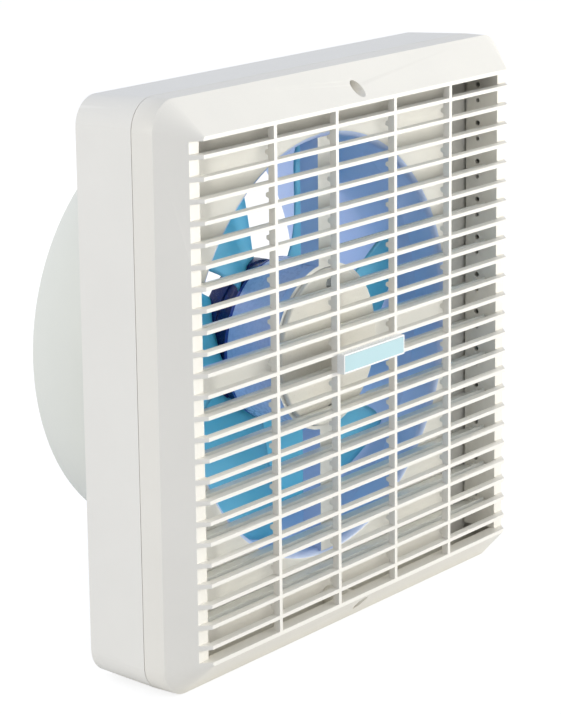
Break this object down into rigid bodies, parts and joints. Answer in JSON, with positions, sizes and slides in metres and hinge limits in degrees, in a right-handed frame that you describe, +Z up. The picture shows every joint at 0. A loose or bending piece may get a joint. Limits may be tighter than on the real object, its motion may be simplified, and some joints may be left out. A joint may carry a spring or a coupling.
{
  "type": "window exhaust fan",
  "caption": "Square window exhaust fan: fixed louvre grille over linked shutter blades, with a motor on arms and an impeller inside a round wall duct.",
  "frame": {"origin": "centre of the plane that lies on the wall, on the fan's axis", "axes": "+Z up, -Y out of the wall towards the room (the grille faces -Y), +Y along the duct through the wall, +X to the right seen from the room"},
  "size_m": [0.304, 0.1385, 0.304],
  "materials": {
    "body_plastic": "smooth moulded",
    "duct_plastic": "smooth moulded",
    "seal_foam": "closed-cell foam",
    "screw_steel": "zinc plated",
    "badge_white": "smooth moulded",
    "badge_face": "glossy, blank",
    "shutter_plastic": "satin moulded",
    "actuator_brass": "turned",
    "motor_paint": "satin enamel",
    "cap_plastic": "smooth moulded",
    "stator_iron": "varnished laminations and coils",
    "rotor_iron": "machined",
    "bearing_bronze": "sintered",
    "impeller_plastic": "smooth moulded",
    "lead_sleeve": "smooth sleeve",
    "terminal_plastic": "moulded"
  },
  "bodies": {
    "frame": {"base_frame": "body_plastic", "duct_sleeve": "duct_plastic", "duct_seal": "seal_foam", "front_cover": "body_plastic", "cover_screws": "screw_steel", "badge_holder": "badge_white", "badge_plate": "badge_face", "shutter_rail_left": "body_plastic", "shutter_rail_right": "body_plastic", "actuator_body": "actuator_brass", "actuator_clip": "screw_steel", "motor_cap": "cap_plastic", "motor_screws": "screw_steel", "motor_housing": "motor_paint", "motor_rear_cover": "motor_paint", "stator": "stator_iron", "bearing_front": "bearing_bronze", "bearing_rear": "bearing_bronze", "motor_lead": "lead_sleeve", "terminal_block": "terminal_plastic", "terminal_screws": "screw_steel", "cable_clamp": "terminal_plastic", "clamp_screws": "screw_steel"},
    "shutter_01": {"shutter_01": "shutter_plastic"},
    "shutter_02": {"shutter_02": "shutter_plastic"},
    "shutter_03": {"shutter_03": "shutter_plastic"},
    "shutter_04": {"shutter_04": "shutter_plastic"},
    "shutter_05": {"shutter_05": "shutter_plastic"},
    "shutter_06": {"shutter_06": "shutter_plastic"},
    "shutter_07": {"shutter_07": "shutter_plastic"},
    "shutter_08": {"shutter_08": "shutter_plastic"},
    "shutter_09": {"shutter_09": "shutter_plastic"},
    "shutter_10": {"shutter_10": "shutter_plastic"},
    "shutter_11": {"shutter_11": "shutter_plastic"},
    "shutter_12": {"shutter_12": "shutter_plastic"},
    "link": {"link_bar": "shutter_plastic"},
    "plunger": {"actuator_plunger": "screw_steel"},
    "spindle": {"rotor": "rotor_iron", "shaft": "screw_steel", "impeller": "impeller_plastic", "impeller_nut": "screw_steel"}
  },
  "joints": [
    {"name": "shutter_01_hinge", "type": "hinge", "parent": "frame", "child": "shutter_01", "pos_m": [0, -0.0498, 0.12035], "axis": [1, 0, 0], "range_deg": [0, 92]},
    {"name": "shutter_02_hinge", "type": "hinge", "parent": "frame", "child": "shutter_02", "pos_m": [0, -0.0498, 0.09865], "axis": [1, 0, 0], "range_deg": [0, 92]},
    {"name": "shutter_03_hinge", "type": "hinge", "parent": "frame", "child": "shutter_03", "pos_m": [0, -0.0498, 0.07696], "axis": [1, 0, 0], "range_deg": [0, 92]},
    {"name": "shutter_04_hinge", "type": "hinge", "parent": "frame", "child": "shutter_04", "pos_m": [0, -0.0498, 0.05526], "axis": [1, 0, 0], "range_deg": [0, 92]},
    {"name": "shutter_05_hinge", "type": "hinge", "parent": "frame", "child": "shutter_05", "pos_m": [0, -0.0498, 0.03357], "axis": [1, 0, 0], "range_deg": [0, 92]},
    {"name": "shutter_06_hinge", "type": "hinge", "parent": "frame", "child": "shutter_06", "pos_m": [0, -0.0498, 0.01187], "axis": [1, 0, 0], "range_deg": [0, 92]},
    {"name": "shutter_07_hinge", "type": "hinge", "parent": "frame", "child": "shutter_07", "pos_m": [0, -0.0498, -0.00982], "axis": [1, 0, 0], "range_deg": [0, 92]},
    {"name": "shutter_08_hinge", "type": "hinge", "parent": "frame", "child": "shutter_08", "pos_m": [0, -0.0498, -0.03152], "axis": [1, 0, 0], "range_deg": [0, 92]},
    {"name": "shutter_09_hinge", "type": "hinge", "parent": "frame", "child": "shutter_09", "pos_m": [0, -0.0498, -0.05322], "axis": [1, 0, 0], "range_deg": [0, 92]},
    {"name": "shutter_10_hinge", "type": "hinge", "parent": "frame", "child": "shutter_10", "pos_m": [0, -0.0498, -0.07491], "axis": [1, 0, 0], "range_deg": [0, 92]},
    {"name": "shutter_11_hinge", "type": "hinge", "parent": "frame", "child": "shutter_11", "pos_m": [0, -0.0498, -0.09661], "axis": [1, 0, 0], "range_deg": [0, 92]},
    {"name": "shutter_12_hinge", "type": "hinge", "parent": "frame", "child": "shutter_12", "pos_m": [0, -0.0498, -0.1183], "axis": [1, 0, 0], "range_deg": [0, 92]},
    {"name": "link_hinge", "type": "hinge", "parent": "shutter_01", "child": "link", "pos_m": [0, -0.04563, 0.11603], "axis": [1, 0, 0], "range_deg": [-92, 0]},
    {"name": "plunger_slide", "type": "slide", "parent": "frame", "child": "plunger", "axis": [0, 0, 1], "range_m": [0, 0.00864]},
    {"name": "impeller_spin", "type": "hinge", "parent": "frame", "child": "spindle", "pos_m": [0, 0, 0], "axis": [0, 1, 0], "continuous": true}
  ],
  "couplings": [
    {"joint": "shutter_02_hinge", "follows": "shutter_01_hinge", "ratio": 1},
    {"joint": "shutter_03_hinge", "follows": "shutter_01_hinge", "ratio": 1},
    {"joint": "shutter_04_hinge", "follows": "shutter_01_hinge", "ratio": 1},
    {"joint": "shutter_05_hinge", "follows": "shutter_01_hinge", "ratio": 1},
    {"joint": "shutter_06_hinge", "follows": "shutter_01_hinge", "ratio": 1},
    {"joint": "shutter_07_hinge", "follows": "shutter_01_hinge", "ratio": 1},
    {"joint": "shutter_08_hinge", "follows": "shutter_01_hinge", "ratio": 1},
    {"joint": "shutter_09_hinge", "follows": "shutter_01_hinge", "ratio": 1},
    {"joint": "shutter_10_hinge", "follows": "shutter_01_hinge", "ratio": 1},
    {"joint": "shutter_11_hinge", "follows": "shutter_01_hinge", "ratio": 1},
    {"joint": "shutter_12_hinge", "follows": "shutter_01_hinge", "ratio": 1},
    {"joint": "link_hinge", "follows": "shutter_01_hinge", "ratio": -1},
    {"joint": "plunger_slide", "follows": "shutter_01_hinge", "m_per_rad": 0.0053759}
  ]
}
